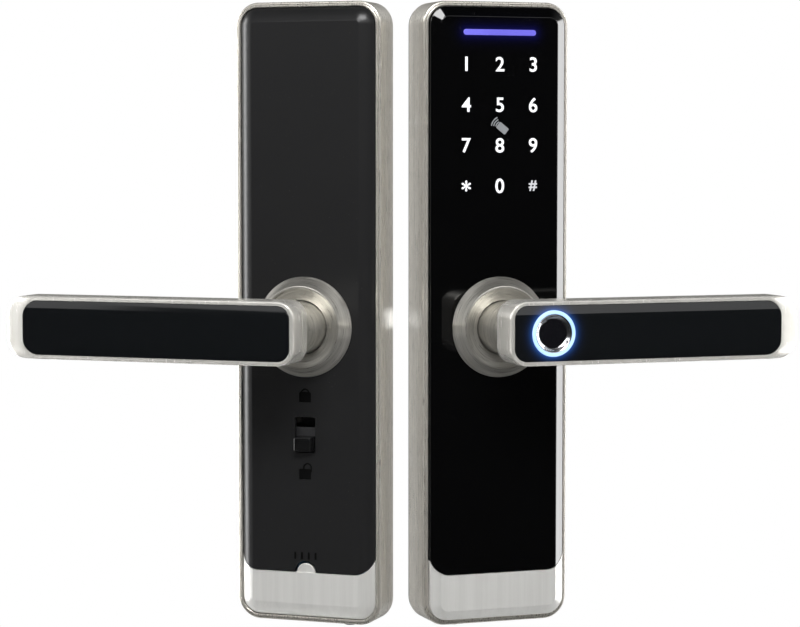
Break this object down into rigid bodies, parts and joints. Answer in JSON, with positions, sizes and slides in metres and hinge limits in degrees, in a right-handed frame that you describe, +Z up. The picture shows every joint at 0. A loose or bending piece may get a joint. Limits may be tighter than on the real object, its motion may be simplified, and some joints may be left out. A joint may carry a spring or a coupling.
{
  "type": "keypad smart lock",
  "caption": "Door lock in two tall plates with lever handles: keypad, card and fingerprint outside, privacy slider and battery compartment inside.",
  "frame": {"origin": "below the middle of the pair, level with the lowest screw heads", "axes": "+Z up along the plates, -Y towards the viewer, +X from the room-side half to the keypad half"},
  "size_m": [0.368, 0.1082, 0.2914],
  "materials": {
    "brushed_frame": "satin, brushed along its length",
    "brushed_cap": "satin, brushed upright",
    "brushed_rosette": "satin, turned",
    "brushed_lever": "satin",
    "panel_black": "piano gloss",
    "cover_black": "fine satin",
    "inlay_black": "gloss",
    "legend_white": "backlit print",
    "status_light": "diffused light bar",
    "sensor_light": "diffused light ring",
    "sensor_chrome": "polished",
    "sensor_glass": "dark coated",
    "circuit_board": "solder mask",
    "copper_coil": "copper trace",
    "key_brass": "machined",
    "plated_steel": "zinc plated",
    "dark_steel": "black oxide",
    "spring_steel": "oiled wire",
    "black_plastic": "moulded",
    "white_plastic": "moulded",
    "gasket_rubber": "soft",
    "cell_wrap": "plain printed sleeve",
    "slider_black": "semi-gloss"
  },
  "bodies": {
    "housings": {"outside_frame": "brushed_frame", "touch_panel": "panel_black", "keypad_legends": "legend_white", "light_bar": "status_light", "keypad_board": "circuit_board", "card_antenna": "copper_coil", "buzzer": "black_plastic", "key_cylinder": "key_brass", "power_socket": "plated_steel", "outside_rosette": "brushed_rosette", "clutch_housing": "black_plastic", "clutch_motor": "plated_steel", "outside_back_plate": "plated_steel", "outside_gasket": "gasket_rubber", "mounting_posts": "plated_steel", "inside_frame": "brushed_frame", "inside_cover": "cover_black", "battery_tray": "black_plastic", "battery_cells": "cell_wrap", "battery_springs": "spring_steel", "battery_contacts": "plated_steel", "control_board": "circuit_board", "detent_spring": "spring_steel", "inside_rosette": "brushed_rosette", "inside_mounting_plate": "plated_steel", "mounting_bolts": "plated_steel", "lever_bushings": "key_brass", "return_springs": "spring_steel", "plate_screws": "plated_steel", "bottom_screws": "dark_steel", "cable_sockets": "white_plastic"},
    "outside_lever": {"outside_lever_bar": "brushed_lever", "outside_lever_neck": "brushed_rosette", "outside_lever_inlay": "inlay_black", "sensor_light_ring": "sensor_light", "sensor_bezel": "sensor_chrome", "sensor_pad": "sensor_glass", "sensor_board": "circuit_board", "outside_set_screw": "dark_steel", "outside_hub": "plated_steel", "outside_circlip": "dark_steel"},
    "inside_lever": {"inside_lever_bar": "brushed_lever", "inside_lever_neck": "brushed_rosette", "inside_lever_inlay": "inlay_black", "inside_set_screw": "dark_steel", "inside_hub": "plated_steel", "inside_circlip": "dark_steel", "inside_spindle": "plated_steel"},
    "outside_drive": {"clutch_disc": "plated_steel", "outside_spindle": "plated_steel"},
    "clutch_pin": {"clutch_pin": "plated_steel"},
    "clutch_screw": {"clutch_screw": "key_brass"},
    "clutch_slider": {"clutch_slider": "white_plastic"},
    "key_cover": {"key_cover": "brushed_cap"},
    "key_plug": {"key_plug": "key_brass", "key_cam": "plated_steel"},
    "program_button": {"program_button": "white_plastic"},
    "battery_cover": {"battery_cover": "brushed_cap"},
    "privacy_slider": {"privacy_slider": "slider_black", "privacy_link": "plated_steel"}
  },
  "joints": [
    {"name": "outside_lever_turn", "type": "hinge", "parent": "housings", "child": "outside_lever", "pos_m": [0.04363, -0.00193, 0.1408], "axis": [-0.3338, 0.9426, 0], "range_deg": [0, 45], "stiffness_Nm_per_rad": 1, "springref_deg": -45.84},
    {"name": "inside_lever_turn", "type": "hinge", "parent": "housings", "child": "inside_lever", "pos_m": [-0.0445, -0.00438, 0.1408], "axis": [-0.3338, -0.9426, 0], "range_deg": [0, 45], "stiffness_Nm_per_rad": 1, "springref_deg": -45.84},
    {"name": "spindle_turn", "type": "hinge", "parent": "housings", "child": "outside_drive", "pos_m": [0.03863, 0.01221, 0.1408], "axis": [-0.3338, 0.9426, 0], "range_deg": [0, 45]},
    {"name": "clutch_pin_slide", "type": "slide", "parent": "outside_drive", "child": "clutch_pin", "axis": [0, 0, -1], "range_m": [0, 0.0024]},
    {"name": "clutch_screw_spin", "type": "hinge", "parent": "housings", "child": "clutch_screw", "pos_m": [0.03996, 0.00844, 0.1758], "axis": [0, 0, 1], "range_deg": [0, 1080]},
    {"name": "clutch_slider_slide", "type": "slide", "parent": "housings", "child": "clutch_slider", "axis": [0, 0, -1], "range_m": [0, 0.0024]},
    {"name": "key_cover_tilt", "type": "hinge", "parent": "housings", "child": "key_cover", "pos_m": [0.0439, -0.00268, 0.0041], "axis": [0.9426, 0.3338, 0], "range_deg": [0, 80]},
    {"name": "key_turn", "type": "hinge", "parent": "housings", "child": "key_plug", "pos_m": [0.04029, 0.0075, 0.0149], "axis": [0.3338, -0.9426, 0], "range_deg": [0, 90]},
    {"name": "program_button_press", "type": "slide", "parent": "housings", "child": "program_button", "axis": [0.3338, -0.9426, 0], "range_m": [0, 0.0006], "stiffness_N_per_m": 400, "springref_m": -0.0005},
    {"name": "battery_cover_tilt", "type": "hinge", "parent": "housings", "child": "battery_cover", "pos_m": [-0.0439, -0.00268, 0.0041], "axis": [0.9426, -0.3338, 0], "range_deg": [0, 80]},
    {"name": "privacy_slide", "type": "slide", "parent": "housings", "child": "privacy_slider", "axis": [0, 0, 1], "range_m": [0, 0.0083]}
  ],
  "couplings": [
    {"joint": "clutch_screw_spin", "follows": "clutch_slider_slide", "rad_per_m": 7854},
    {"joint": "clutch_pin_slide", "follows": "clutch_slider_slide", "ratio": 1}
  ]
}
